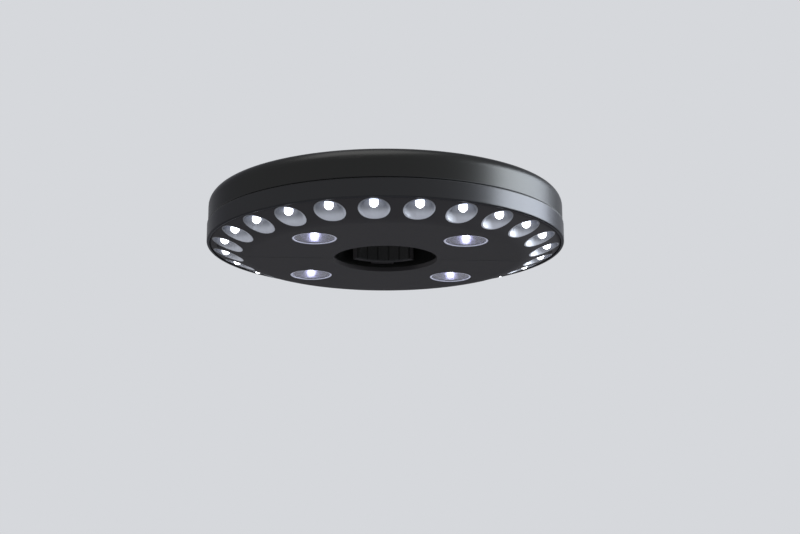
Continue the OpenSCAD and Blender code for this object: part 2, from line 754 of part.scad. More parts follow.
module cells(side) color([0.2, 0.35, 0.6]) at_side(side) {
  translate([bay_half - cell_len, cell_y, cell_z]) cell();
  translate([-bay_half + cell_len, cell_far_y, cell_z]) mirror([1, 0, 0]) cell();
}

// Two contact strips: each carries a flat end and a coil end
module contacts(side) color([0.8, 0.79, 0.74]) at_side(side) {
  for (s = [-1, 1]) scale_x(s) {
    coil_y = s > 0 ? cell_far_y : cell_y;
    block([bay_half, tray_y0 + contact_in, cell_z - contact_low],
      [bay_half + contact_t, tray_y1 - contact_in, cell_z + contact_up]);
    translate([bay_half - coil_room + eps, coil_y, cell_z]) rotate([0, 90, 0])
      coil(contact_coil_r, coil_room - 2 * eps, contact_turns, contact_wire_r);
  }
}

module battery_door(side) color([0.41, 0.42, 0.44]) at_side(side) {
  half = door_half - move_play;
  y1 = door_y1 - move_play;
  low_z = casing_h - door_t;
  difference() {
    block([-half, hinge_y, low_z], [half, y1, casing_h]);
    for (k = [0:2]) let (y = y1 - groove_half + 2 * groove_w * k)
      block([-groove_half, y, casing_h - groove_depth], [groove_half, y + groove_w, casing_h + eps]);
    translate([0, door_y1 - notch_in, casing_h - notch_depth]) cylinder(r = notch_r, h = casing_h);
  }
  translate([-half, hinge_y, hinge_z]) rod_x_axis(hinge_r, 2 * half);
  translate([-half - door_pin_len, hinge_y, hinge_z]) rod_x_axis(door_pin_r, 2 * (half + door_pin_len));
}

// ---------------------------------------------------------------- hanging bails

module bail(side) color([0.75, 0.76, 0.77]) at_side(side) translate([0, bail_y, bail_z]) {
  x = bail_w / 2;
  both_sides() {
    translate([x, 0, 0]) rod_y(bail_wire_r, bail_len - bend_r);
    translate([x, 0, 0]) sphere(r = bail_wire_r);
    translate([x, 0, 0]) rod_x_axis(bail_wire_r, trench_half + pivot_len - x - move_play);
    translate([x - bend_r, bail_len - bend_r, 0]) rotate_extrude(angle = 90)
      translate([bend_r, 0]) circle(r = bail_wire_r);
  }
  translate([-x + bend_r, bail_len, 0]) rod_x_axis(bail_wire_r, 2 * (x - bend_r));
}

// ---------------------------------------------------------------- power button

// A bar with round ends, across X, that runs along +Y
module capsule(w, h, len) {
  block([-(w - h) / 2, 0, -h / 2], [(w - h) / 2, len, h / 2]);
  both_sides() translate([(w - h) / 2, 0, 0]) rod_y(h / 2, len);
}

module power_button() color([0.16, 0.16, 0.17]) translate([0, 0, button_z]) {
  translate([0, button_flange_y, 0]) capsule(button_w, button_h, button_face_y - button_flange_y);
  translate([0, button_flange_y, 0])
    capsule(button_w + 2 * button_flange_w, button_h + 2 * button_flange_w, button_flange_t);
  translate([0, switch_front_y + plunger_len + button_travel + 0.1, 0])
    rod_y(stem_r, button_flange_y - switch_front_y - plunger_len - button_travel);
}

module button_spring() color([0.7, 0.71, 0.73]) translate([0, switch_front_y, button_z]) rotate([-90, 0, 0])
  coil(button_coil_r, button_flange_y - switch_front_y, button_turns, button_wire_r);

module control_board() color([0.12, 0.3, 0.17]) {
  block([-pcb_half, pcb_y, pcb_low_z], [pcb_half, pcb_y + board_t, pcb_top_z]);
  block([chip_x, pcb_y - chip[1], button_z - chip_drop],
    [chip_x + chip[0], pcb_y + eps, button_z - chip_drop + chip[2]]);
  translate([inductor_x, pcb_y + eps, button_z]) rotate([90, 0, 0]) cylinder(r = inductor_r, h = inductor_h);
}

module push_switch() color([0.15, 0.15, 0.16]) translate([0, pcb_y + board_t, button_z]) {
  block([-switch_half, 0, -switch_half], [switch_half, switch_h, switch_half]);
  rod_y(plunger_r, switch_h + plunger_len);
}

// ---------------------------------------------------------------- fasteners and wires

module screws(side) color([0.6, 0.6, 0.62]) at_side(side) for (a = screw_angles) on_ring(screw_ring_r, a)
  difference() {
    union() {
      translate([0, 0, screw_end_z]) cylinder(r = screw_r, h = screw_head_z - screw_end_z + eps, $fn = 32);
      translate([0, 0, screw_head_z]) cylinder(r = screw_head_r, h = screw_head_h);
    }
    for (t = [0, 90]) rotate([0, 0, t]) block([-1.7, -0.35, screw_head_z + 1], [1.7, 0.35, casing_h]);
  }

// Jumpers from the tray down to each spot board, and from each spot board to the ring board
module wires(side) color([0.65, 0.12, 0.1]) at_side(side) both_sides() {
  drop = [wing_x - wire_wing_in, tray_y0 + wire_edge_in];
  jumper([drop.x, drop.y, socket_z + board_t], [drop.x, drop.y, tray_low_z]);
  ring_z = board_z + board_t + wire_r + eps;
  inner = spot_xy + (socket_r + socket_wall) / 2;
  outer = (board_inner_r + wire_edge_in) / sqrt(2);
  jumper([inner, inner, ring_z], [outer, outer, ring_z]);
}

casing(REAR);  // rear_casing
casing(FRONT);  // front_casing
rim_band(REAR);  // rear_rim_band
rim_band(FRONT);  // front_rim_band
face_plate(REAR);  // rear_face_plate
face_plate(FRONT);  // front_face_plate
cup_ring(REAR);  // rear_cup_ring
cup_ring(FRONT);  // front_cup_ring
ring_leds(REAR);  // rear_ring_leds
ring_leds(FRONT);  // front_ring_leds
ring_board(REAR);  // rear_ring_board
ring_board(FRONT);  // front_ring_board
spot_lenses(REAR);  // rear_spot_lenses
spot_lenses(FRONT);  // front_spot_lenses
spot_reflectors(REAR);  // rear_spot_reflectors
spot_reflectors(FRONT);  // front_spot_reflectors
spot_leds(REAR);  // rear_spot_leds
spot_leds(FRONT);  // front_spot_leds
spot_boards(REAR);  // rear_spot_boards
spot_boards(FRONT);  // front_spot_boards
guide_rods();
rod_terminals();
guide_springs();
rod_bushes();
jaw(REAR);  // rear_jaw
jaw(FRONT);  // front_jaw
jaw_pad(REAR);  // rear_jaw_pad
jaw_pad(FRONT);  // front_jaw_pad
jaw_spring(REAR);  // rear_jaw_spring
jaw_spring(FRONT);  // front_jaw_spring
battery_tray(REAR);  // rear_battery_tray
battery_tray(FRONT);  // front_battery_tray
cells(REAR);  // rear_cells
cells(FRONT);  // front_cells
contacts(REAR);  // rear_contacts
contacts(FRONT);  // front_contacts
battery_door(REAR);  // rear_battery_door
battery_door(FRONT);  // front_battery_door
bail(REAR);  // rear_bail
bail(FRONT);  // front_bail
power_button();
button_spring();
control_board();
push_switch();
screws(REAR);  // rear_screws
screws(FRONT);  // front_screws
wires(REAR);  // rear_wires
wires(FRONT);  // front_wires
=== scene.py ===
# %% [markdown]
# # A battery light for the pole of a patio umbrella
# The real object is a flat disc in two halves that close round a pole. Seen from below it shows a satin
# rim band, a dark textured face plate, a ring of small lights in bright cups and four larger spot lights.
# The CAD model already gives every piece its true size and place, so this lesson loads it as a fixed
# frame, gives each piece its finish, and makes anew the few pieces whose real form is finer than the
# solid: rim bands, lenses, dishes, lamps, springs, cells, contacts, the control board and wires.

# %% The frame
import json
import math

import bmesh
import bpy
from mathutils import Matrix, Vector


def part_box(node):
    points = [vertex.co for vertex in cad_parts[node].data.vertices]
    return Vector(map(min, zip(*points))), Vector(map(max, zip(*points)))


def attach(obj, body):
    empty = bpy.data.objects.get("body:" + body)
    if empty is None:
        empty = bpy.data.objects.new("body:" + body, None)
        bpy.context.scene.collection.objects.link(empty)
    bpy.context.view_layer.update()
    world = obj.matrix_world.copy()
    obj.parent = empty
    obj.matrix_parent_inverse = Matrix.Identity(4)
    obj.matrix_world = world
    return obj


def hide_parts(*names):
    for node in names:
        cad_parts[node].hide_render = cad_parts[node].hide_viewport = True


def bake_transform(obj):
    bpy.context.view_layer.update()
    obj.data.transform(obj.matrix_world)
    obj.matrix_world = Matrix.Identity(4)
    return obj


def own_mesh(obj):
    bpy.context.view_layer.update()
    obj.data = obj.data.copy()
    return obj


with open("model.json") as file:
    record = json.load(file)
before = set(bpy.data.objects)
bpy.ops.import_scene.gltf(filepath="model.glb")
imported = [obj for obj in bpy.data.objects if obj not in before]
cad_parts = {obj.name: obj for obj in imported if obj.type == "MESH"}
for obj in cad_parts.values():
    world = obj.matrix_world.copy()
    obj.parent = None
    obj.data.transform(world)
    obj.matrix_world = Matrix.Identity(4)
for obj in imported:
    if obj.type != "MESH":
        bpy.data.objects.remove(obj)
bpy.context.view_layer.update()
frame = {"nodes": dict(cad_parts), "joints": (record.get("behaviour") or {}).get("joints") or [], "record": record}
nodes = frame["nodes"]
scene = bpy.context.scene
MM = 0.001
HALVES = {"rear": 1, "front": -1}
for plain in bpy.data.materials:
    plain.name = "cad_" + plain.name

# %% [markdown]
# ## The camera
# The photograph looks up at the disc from just under it, so the camera stands low in front and tilts
# up. Its place, tilt and lens come from fitting the ellipses of the rim and of the cups. A camera looks
# along its own -Z axis, so its matrix is made from three directions: right, up and backwards.

# %% Camera
eye = Vector((-63.5, -969.3, -268.2)) * MM
turn, pitch, roll = (math.radians(a) for a in (4.266, 14.11, -0.16))
ahead = Vector((math.sin(turn) * math.cos(pitch), math.cos(turn) * math.cos(pitch), math.sin(pitch)))
level_right = Vector((math.cos(turn), -math.sin(turn), 0))
level_up = level_right.cross(ahead)
right = math.cos(roll) * level_right + math.sin(roll) * level_up
up = -math.sin(roll) * level_right + math.cos(roll) * level_up
camera = bpy.data.objects.new("camera", bpy.data.cameras.new("camera"))
camera.data.lens, camera.data.sensor_width = 74.45, 36
camera.data.clip_start = 0.05
camera.matrix_world = Matrix.Translation(eye) @ Matrix((right, up, -ahead)).transposed().to_4x4()
scene.collection.objects.link(camera)
scene.camera = camera
scene.view_settings.view_transform = "Standard"
print("camera at", [round(v, 3) for v in eye])

# %% [markdown]
# ## Shader maths as Python
# A finish is a graph of nodes. Linking dozens of them by hand hides what the finish does, so one small
# class, Wire, wraps a socket and lets masks be written as sums. Graph makes any node from its type, its
# settings and its inputs, and serves the world's light as well. Paint is the graph of one material, and
# sets what never changes on the shader itself.

# %% Wires and graphs
class Wire:
    """An output socket that can be used in sums with numbers and other wires."""

    def __init__(self, graph, socket):
        self.graph, self.socket = graph, socket

    def sum(self, operation, *inputs):
        return self.graph.node("Math", {"operation": operation}, dict(enumerate(inputs)))

    def __add__(self, other): return self.sum("ADD", self, other)
    def __sub__(self, other): return self.sum("SUBTRACT", self, other)
    def __rsub__(self, other): return self.sum("SUBTRACT", other, self)
    def __mul__(self, other): return self.sum("MULTIPLY", self, other)
    __radd__, __rmul__ = __add__, __mul__

    def clip(self):
        """The same value, kept between 0 and 1."""
        return self.graph.node("Clamp", {}, {"Value": self})

    def size(self):
        """The same value without its sign."""
        return self.sum("ABSOLUTE", self)

    def between(self, low, high):
        """0 at low and 1 at high, with a soft start and end."""
        return self.graph.node("MapRange", {"interpolation_type": "SMOOTHSTEP"},
                               {"Value": self, "From Min": low, "From Max": high})


class Graph:
    """A tree of nodes that ends in one node, whose sockets are fed."""

    def __init__(self, tree, end):
        self.tree, self.end = tree, tree.nodes[end]

    def node(self, kind, settings, sockets, out=0):
        made = self.tree.nodes.new("ShaderNode" + kind)
        for name, value in settings.items():
            setattr(made, name, value)
        for name, value in sockets.items():
            if isinstance(value, Wire):
                self.tree.links.new(value.socket, made.inputs[name])
            else:
                made.inputs[name].default_value = value
        return Wire(self, made.outputs[out])

    def feed(self, socket, wire):
        self.tree.links.new(wire.socket, self.end.inputs[socket])


# %% [markdown]
# Most finishes start from the same few things: where a point lies, some noise, cells, a mask of the
# corners, and a relief for the Normal. Paint gives each of these a name, so that the finishes below read
# as short recipes.

# %% Paints
class Paint(Graph):
    """One material round a Principled shader, with its fixed values set on the shader's own sockets."""

    def __init__(self, name, colour, **fixed):
        self.material = bpy.data.materials.new(name)
        self.material.use_nodes = True
        super().__init__(self.material.node_tree, "Principled BSDF")
        self.end.inputs["Base Color"].default_value = (*colour, 1)
        for socket, value in fixed.items():
            self.end.inputs[socket.replace("_", " ")].default_value = value

    def place(self):
        """Where a point is in the frame, in metres: it stays put on the piece at every pose."""
        return self.node("TexCoord", {}, {}, "Object")

    def axis(self, letter, vector=None):
        return self.node("SeparateXYZ", {}, {0: vector or self.place()}, letter)

    def noise(self, size, detail=2.0, stretch=(1, 1, 1)):
        """Soft cloud noise whose blobs are about size metres across."""
        spot = self.node("VectorMath", {"operation": "MULTIPLY"}, {0: self.place(), 1: stretch})
        return self.node("TexNoise", {}, {"Vector": spot, "Scale": 1 / size, "Detail": detail}, "Fac")

    def cells(self, size, out="Distance"):
        """Voronoi cells about size metres across."""
        return self.node("TexVoronoi", {}, {"Vector": self.place(), "Scale": 1 / size}, out)

    def blend(self, mask, a, b):
        """Colour a where the mask is 0 and colour b where it is 1."""
        pick = {"data_type": "RGBA"}
        a, b = (c if isinstance(c, Wire) else (*c, 1) for c in (a, b))
        return self.node("Mix", pick, {0: mask, 6: a, 7: b}, 2)

    def bump(self, height, depth, strength=1.0, edge=0.0):
        """Feeds a Bump node whose relief is depth metres; edge rounds the corners by that radius."""
        sockets = {"Height": height, "Distance": depth, "Strength": strength}
        if edge:
            sockets["Normal"] = self.node("Bevel", {"samples": 4}, {"Radius": edge})
        self.feed("Normal", self.node("Bump", {}, sockets))

    def edges(self, radius):
        """A mask of the corners: the rounded normal differs there from the true one."""
        round_normal = self.node("Bevel", {"samples": 4}, {"Radius": radius})
        true_normal = self.node("NewGeometry", {}, {}, "Normal")
        normals = {0: round_normal, 1: true_normal}
        same = self.node("VectorMath", {"operation": "DOT_PRODUCT"}, normals, "Value")
        return (1 - same).between(0.02, 0.25)


def srgb(*levels):
    """A colour given as it shows on a screen, 0 to 255, in the shader's linear numbers."""
    return tuple(v / 12.92 if v <= 0.04045 else ((v + 0.055) / 1.055) ** 2.4
                 for v in (n / 255 for n in levels))


def shade(colour, factor):
    return tuple(min(1.0, c * factor) for c in colour)


# %% [markdown]
# ## Painted shells
# Casing, doors and rim band are moulded plastic sprayed with a satin grey metallic lacquer. Up close
# such a coat shows fine flakes, a soft orange peel, a little dust on its upper side and brighter rubbed
# corners. A dark line of painted shade runs along the seam between casing and band. One function
# makes both lacquers, because the real pieces come from the same spray booth.

# %% Sprayed metallic
EDGE_TINT = (0.45, 0.45, 0.47, 1)
SEAM_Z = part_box("rear_rim_band")[1].z / 2


def sprayed(name, colour, rough, flake=0.10, dust=0.25):
    paint = Paint(name, colour, Metallic=0.9, Coat_Weight=0.08, Coat_Roughness=0.3, Specular_Tint=EDGE_TINT)
    flakes = paint.cells(0.00022, "Color")
    flakes = paint.node("SeparateColor", {}, {0: flakes})
    cloud = paint.noise(0.03, 3)
    worn = paint.edges(0.0007) * paint.noise(0.004, 3).between(0.42, 0.62)
    tone = (flakes - 0.5) * flake + (cloud - 0.5) * 0.12 + 0.5
    coat = paint.blend(tone.clip(), shade(colour, 0.80), shade(colour, 1.22))
    coat = paint.blend((worn * 0.55).clip(), coat, shade(colour, 2.3))
    facing = paint.axis("Z", paint.node("NewGeometry", {}, {}, "Normal")).between(0.75, 1.0)
    specks = paint.noise(0.0016, 6).between(0.58, 0.72)
    settled = (facing * (specks * 0.55 + paint.noise(0.02, 4) * 0.5) * dust).clip()
    coat = paint.blend(settled, coat, srgb(150, 146, 138))
    # Painted shade: within a millimetre of the seam the colour goes dark, less metallic and rougher.
    seam_shade = (paint.axis("Z") - SEAM_Z).size().between(0.001, 0.0004)
    paint.feed("Base Color", paint.blend(seam_shade, coat, shade(colour, 0.2)))
    paint.feed("Metallic", ((1 - settled) * (1 - seam_shade) * 0.9).clip())
    paint.feed("Roughness", (cloud * 0.10 + settled * 0.5 + rough - 0.05 - worn * 0.06 + seam_shade * 0.4).clip())
    peel = paint.noise(0.0011, 2) + paint.noise(0.00018, 1) * 0.12
    paint.bump(peel, 0.00004, 0.35, edge=0.00045)
    return paint


casing_paint = sprayed("casing_paint", srgb(43, 43, 42), 0.36)
band_paint = sprayed("band_paint", srgb(49, 49, 50), 0.34, dust=0.1)
print("sprayed:", casing_paint.material.name, band_paint.material.name)

# %% [markdown]
# ## Moulded plastics
# The face plate is raw dark plastic from a spark-textured mould: matt, with a grain of a few tenths of a
# millimetre. Inside, black plastic is smoother. Cell noise for the pits and cloud noise for slow flow
# marks give both, so one function takes the grain size and depth.

# %% Spark-textured and smooth plastics
def moulded(name, colour, rough, grain, depth, gloss=0.3, edge=0.0004):
    paint = Paint(name, colour, Specular_IOR_Level=gloss)
    pits = paint.cells(grain)
    flow = paint.noise(0.024, 4)
    rubbed = paint.edges(0.0006) * 0.5
    tone = paint.blend((flow * 0.8 + pits * 0.4).clip(), shade(colour, 0.82), shade(colour, 1.2))
    paint.feed("Base Color", paint.blend(rubbed.clip(), tone, shade(colour, 1.9)))
    paint.feed("Roughness", (pits * 0.12 + flow * 0.1 + rough - 0.1 - rubbed * 0.15).clip())
    relief = pits + paint.noise(grain * 0.5, 2) * 0.6
    paint.bump(relief, depth, 0.5, edge=edge)
    return paint


face_plastic = moulded("face_plastic", srgb(56, 54, 55), 0.72, 0.00035, 0.00003, gloss=0.1)
black_plastic = moulded("black_plastic", srgb(54, 52, 53), 0.45, 0.0006, 0.000015)
button_rubber = moulded("button_rubber", srgb(34, 34, 36), 0.62, 0.0003, 0.00002)
print("moulded:", face_plastic.material.name, black_plastic.material.name, button_rubber.material.name)

# %% [markdown]
# ## Bare metals
# Rods, springs, screws, bails, bushes and contacts are bare metal. Each is a tinted metallic shader with
# fine drawing lines along one axis, a slow stain and a little variation in gloss. Stretching a noise
# makes the lines; the axis is the way the real piece was drawn, turned or stamped.

# %% Drawn, turned and stamped metal
def bare_metal(name, colour, rough, lines=(1, 1, 1), stain=0.15):
    paint = Paint(name, colour, Metallic=1.0)
    streak = paint.noise(0.00035, 3, lines)
    patch = paint.noise(0.006, 4)
    tone = (streak - 0.5) * 0.5 + (patch - 0.5) * stain + 0.5
    paint.feed("Base Color", paint.blend(tone.clip(), shade(colour, 0.74), shade(colour, 1.14)))
    paint.feed("Roughness", (streak * 0.16 + patch * 0.12 + rough - 0.12).clip())
    paint.bump(streak, 0.00001, 0.4, edge=0.0002)
    return paint


ALONG_X, ALONG_Y, ALONG_Z = (0.04, 1, 1), (1, 0.04, 1), (1, 1, 0.04)
rod_steel = bare_metal("rod_steel", srgb(196, 198, 201), 0.22, ALONG_Y)
spring_steel = bare_metal("spring_steel", srgb(168, 170, 174), 0.32)
screw_steel = bare_metal("screw_steel", srgb(150, 151, 154), 0.34)
bail_wire = bare_metal("bail_wire", srgb(188, 190, 193), 0.26, ALONG_X)
contact_plate = bare_metal("contact_plate", srgb(201, 199, 190), 0.3, ALONG_Z)
brass = bare_metal("brass", srgb(206, 176, 104), 0.3, ALONG_X)
bronze = bare_metal("bronze", srgb(178, 132, 82), 0.42, ALONG_Y, stain=0.35)
print("metals: 7")

# %% [markdown]
# ## Vacuum-metallised cups and dishes
# The cups round the small lights and the dishes of the spots are plastic with a vapour of aluminium on
# them. Their colour is painted darker toward the floor, as painted shade in the depth.
# The cups are satin all over. The dishes are mirrors with a fine peel: the smooth spots give the sharp
# streak of the lamp, and the rough ones the soft glow beside it.

# %% Metallised cups and dishes
def metallised(name, colour, smooth, peel, mouth_z, floor_z, floor_shade):
    paint = Paint(name, colour, Metallic=0.95)
    haze = paint.noise(0.0025, 4) * 0.5 + 0.25
    # Painted shade: the colour darkens from the mouth toward the floor of the cup or dish.
    depth = paint.axis("Z").between(mouth_z, floor_z)
    coat = paint.blend(depth, colour, shade(colour, floor_shade))
    paint.feed("Base Color", paint.blend(haze * 0.4, coat, shade(colour, 0.5)))
    grain = paint.noise(0.0002, 2).between(0.42, 0.72)
    paint.feed("Roughness", (grain * peel + haze * 0.08 + smooth).clip())
    paint.bump(paint.noise(0.0008, 2), 0.00001, 0.3)
    return paint


cup_low, dish_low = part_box("rear_cup_ring")[0].z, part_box("rear_spot_reflectors")[0].z
satin_cup = metallised("satin_cup", srgb(219, 221, 227), 0.46, 0.12, cup_low + 0.002, cup_low + 0.006, 0.34)
mirror_dish = metallised("mirror_dish", srgb(124, 123, 146), 0.14, 0.24, dish_low, dish_low + 0.008, 0.8)
print("metallised:", satin_cup.material.name, mirror_dish.material.name)

# %% [markdown]
# ## Lights that are on
# The small lights burn in the photograph, so their epoxy domes glow: white at the tip, where the inner
# lens throws the light, and dimmer and bluer down the sides. The brightness is fixed on the shader, and
# only the colour of the glow changes with height. The spot lights are the same kind of lamp, but stronger.

# %% Glowing epoxy
def glowing(name, tip_z, base_z, strength):
    paint = Paint(name, srgb(226, 232, 240), Roughness=0.18, Emission_Strength=strength)
    height = paint.axis("Z")
    glow = height.between(base_z, tip_z)
    grain = paint.noise(0.0009, 2) * 0.12 + 0.88
    paint.feed("Emission Color", paint.blend((glow * grain).clip(), srgb(70, 84, 120), srgb(250, 252, 255)))
    paint.feed("Roughness", (paint.noise(0.0012, 2) * 0.1 + 0.13).clip())
    return paint


RING_LIFT, RING_GLOW = 0.0007, 0.0056
SPOT_TIP, SPOT_GLOW = 0.004, 0.02
ring_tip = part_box("rear_ring_leds")[0].z + RING_LIFT
led_epoxy = glowing("led_epoxy", ring_tip, ring_tip + RING_GLOW, 7.0)
spot_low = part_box("rear_spot_leds")[0].z
spot_epoxy = glowing("spot_epoxy", spot_low + SPOT_TIP, spot_low + SPOT_GLOW, 15.0)
print("domes: ring tip", round(ring_tip * 1000, 2), "mm, spot tip", round(spot_low * 1000, 2), "mm")

# %% [markdown]
# ## Clear lens and its bright rim
# Each spot has a clear plastic window. Light caught inside it comes out at its frosted rim, which shows
# as a thin bright ring, here painted as light. So the lens gets two finishes: clear plastic with faint
# moulding waves, and a frosted edge with a weak cool painted glow in place of the lamp's light.

# %% Lens finishes
clear_lens = Paint("clear_lens", srgb(238, 238, 250), IOR=1.15, Transmission_Weight=1.0)
clear_lens.feed("Roughness", (clear_lens.noise(0.004, 3) * 0.05 + 0.01).clip())
clear_lens.bump(clear_lens.noise(0.006, 2), 0.00001, 0.1)
# Painted light: the frosted edge emits a weak glow of its own in place of the lamp's light caught in the rim.
frosted_edge_painted_glow = Paint("frosted_edge_painted_glow", srgb(196, 198, 212), Roughness=0.5, Emission_Strength=0.22)
frost = frosted_edge_painted_glow.noise(0.0007, 3)
frosted_edge_painted_glow.feed("Emission Color", frosted_edge_painted_glow.blend(frost.between(0.35, 0.65), srgb(150, 152, 176),
                                                       srgb(226, 226, 244)))
frosted_edge_painted_glow.bump(frost, 0.00003, 0.4)
print("lens finishes: 2")

# %% [markdown]
# ## Boards, sleeves and rubber
# Circuit boards are glass fibre under green solder mask. Their tracks show through it as paler lines that
# run one way in one patch and the other way in the next, and small tinned holes join the two sides.
# Patches and holes are cell noise, and the lines are a coordinate folded back and forth. Cells wear a
# printed plastic sleeve, here a plain two-tone one. Wires have soft sleeves, and the pads are matt rubber.

# %% Boards, sleeves and rubber
circuit_board = Paint("circuit_board", srgb(24, 74, 44), Specular_IOR_Level=0.5)
across = circuit_board.axis("X")
along = circuit_board.axis("Y") + circuit_board.axis("Z")
TRACK_PITCH, TRACK_EDGE = 0.0011, (0.00034, 0.00026)
across_lines, along_lines = (way.sum("PINGPONG", way, TRACK_PITCH).between(*TRACK_EDGE)
                             for way in (across, along))
patch = circuit_board.cells(0.011, "Color")
turned_patch = circuit_board.node("SeparateColor", {}, {0: patch}, "Red").between(0.49, 0.51)
tracked_patch = circuit_board.node("SeparateColor", {}, {0: patch}, "Green").between(0.3, 0.32)
tracks = (across_lines * turned_patch + along_lines * (1 - turned_patch)) * tracked_patch
holes = circuit_board.cells(0.0045).between(0.11, 0.08)
weave = circuit_board.noise(0.0004, 2)
mask_tone = circuit_board.blend(weave, srgb(18, 60, 36), srgb(30, 84, 50))
mask_tone = circuit_board.blend(tracks * 0.8, mask_tone, srgb(52, 112, 62))
circuit_board.feed("Base Color", circuit_board.blend(holes, mask_tone, srgb(176, 174, 166)))
circuit_board.feed("Metallic", holes * 0.9)
circuit_board.feed("Roughness", weave * 0.1 + 0.32)
circuit_board.bump(tracks + holes * 0.6 + weave * 0.2, 0.00004, 0.6)

cell_sleeve = Paint("cell_sleeve", srgb(28, 52, 96), Coat_Weight=0.4, Coat_Roughness=0.12)
collar = cell_sleeve.axis("X").size().between(0.0148, 0.0152)
film = cell_sleeve.noise(0.005, 3)
blue = cell_sleeve.blend(film, srgb(24, 46, 88), srgb(34, 62, 112))
cell_sleeve.feed("Base Color", cell_sleeve.blend(collar, blue, srgb(138, 140, 146)))
cell_sleeve.feed("Roughness", film * 0.1 + 0.26)
cell_sleeve.bump(cell_sleeve.noise(0.002, 2), 0.00005, 0.3)

wire_sleeve = moulded("wire_sleeve", srgb(150, 34, 28), 0.42, 0.0009, 0.00001, gloss=0.4, edge=0.0)
pad_rubber = moulded("pad_rubber", srgb(26, 26, 26), 0.85, 0.0005, 0.00004, gloss=0.25)
print("boards, sleeves and rubber: 4")

# %% [markdown]
# ## Which piece wears which finish
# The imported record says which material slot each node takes. Reading it here, and not writing the names
# out again, keeps the two in step: a slot and its finish share one name.

# %% Finishes on the CAD nodes
finishes = {p.material.name: p for p in (
    casing_paint, band_paint, face_plastic, satin_cup, led_epoxy, circuit_board, clear_lens, mirror_dish,
    spring_steel, black_plastic, cell_sleeve, contact_plate, screw_steel, wire_sleeve, rod_steel, brass,
    bronze, pad_rubber, bail_wire, button_rubber)}
slot_of = {part["node"]: part["material_slot"] for part in frame["record"]["subparts"]}
for name, obj in nodes.items():
    finish = spot_epoxy if name.endswith("spot_leds") else finishes[slot_of[name]]
    obj.data.materials.clear()
    obj.data.materials.append(finish.material)
print("finished nodes:", len(slot_of))


# %% [markdown]
# ## A workshop for turned and wound pieces
# Lenses, dishes, lamps and cells are turned shapes: a profile spun round an axis. Springs and wires are a
# round wire along a path. Shape collects both kinds in one mesh, so that identical pieces of one half,
# such as its two lenses, stay together as one piece, as they do in the CAD model.

# %% Turned and wound shapes
class Shape:
    """Points and faces in millimetres, with a finish number on each face."""

    def __init__(self):
        self.mesh = bmesh.new()

    def rows(self, rings, finish, caps=False):
        """Skins a list of rings of points; caps closes the two ends."""
        made = [[self.mesh.verts.new(Vector(p) * MM) for p in ring] for ring in rings]
        for a, b in zip(made, made[1:]):
            for i in range(len(a)):
                j = (i + 1) % len(a)
                self.mesh.faces.new((a[i], a[j], b[j], b[i])).material_index = finish
        if caps:
            for ring in (made[0], made[-1]):
                self.mesh.faces.new(ring).material_index = finish

    def turned(self, profile, place, finish=0, steps=72, axis="Z"):
        """Spins (radius, height) points round an axis through place; a radius of 0 makes a pole."""
        spin = {"X": lambda r, h, c, s: (h, r * c, r * s), "Y": lambda r, h, c, s: (r * c, h, r * s),
                "Z": lambda r, h, c, s: (r * c, r * s, h)}[axis]
        angles = [2 * math.pi * k / steps for k in range(steps)]
        rings = [[Vector(spin(max(r, 1e-6), h, math.cos(a), math.sin(a))) + Vector(place) for a in angles]
                 for r, h in profile]
        self.rows(rings, finish)

    def wound(self, path, wire_r, finish=0, sides=12):
        """Sweeps a round wire along a path of points, with rounded ends."""
        path = [Vector(p) for p in path]
        last = len(path) - 1
        steps = [(path[min(i + 1, last)] - path[max(i - 1, 0)]).normalized() for i in range(last + 1)]
        across = steps[0].orthogonal().normalized()
        rings = []
        for i, (point, step) in enumerate(zip(path, steps)):
            across = (across - step * across.dot(step)).normalized()
            side = step.cross(across)
            rings.append([point + wire_r * (math.cos(t) * across + math.sin(t) * side)
                          for t in (2 * math.pi * k / sides for k in range(sides))])
            if i in (0, last):
                out = -step if i == 0 else step
                tip = [point + out * wire_r * 0.4 + 0.6 * (q - point) for q in rings[-1]]
                rings.insert(0, tip) if i == 0 else rings.append(tip)
        self.rows(rings, finish, caps=True)

    def piece(self, name, paints, body, slot, stands_for, sharp=35):
        """Makes the object, lets it ride on its body, and says which node it stands for."""
        bmesh.ops.remove_doubles(self.mesh, verts=self.mesh.verts, dist=1e-7)
        bmesh.ops.dissolve_degenerate(self.mesh, edges=self.mesh.edges, dist=1e-7)
        bmesh.ops.recalc_face_normals(self.mesh, faces=self.mesh.faces)
        data = bpy.data.meshes.new(name)
        self.mesh.to_mesh(data)
        self.mesh.free()
        data.shade_smooth()
        data.set_sharp_from_angle(angle=math.radians(sharp))
        for paint in paints:
            data.materials.append(paint.material)
        obj = bpy.data.objects.new(name, data)
        scene.collection.objects.link(obj)
        if body:
            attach(obj, body)
        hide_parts(stands_for)
        print(f"{name}: {len(data.polygons)} faces, stands for {stands_for}")
        return obj


# %% [markdown]
# ## Rim band
# The band is one moulded profile that runs half round the disc: a wall with a rounded lower edge, and a
# ledge inside for the face plate. The light slides along that edge, so it is swept here with fine steps.
# Extra points beside each corner keep the wall's own normals straight.

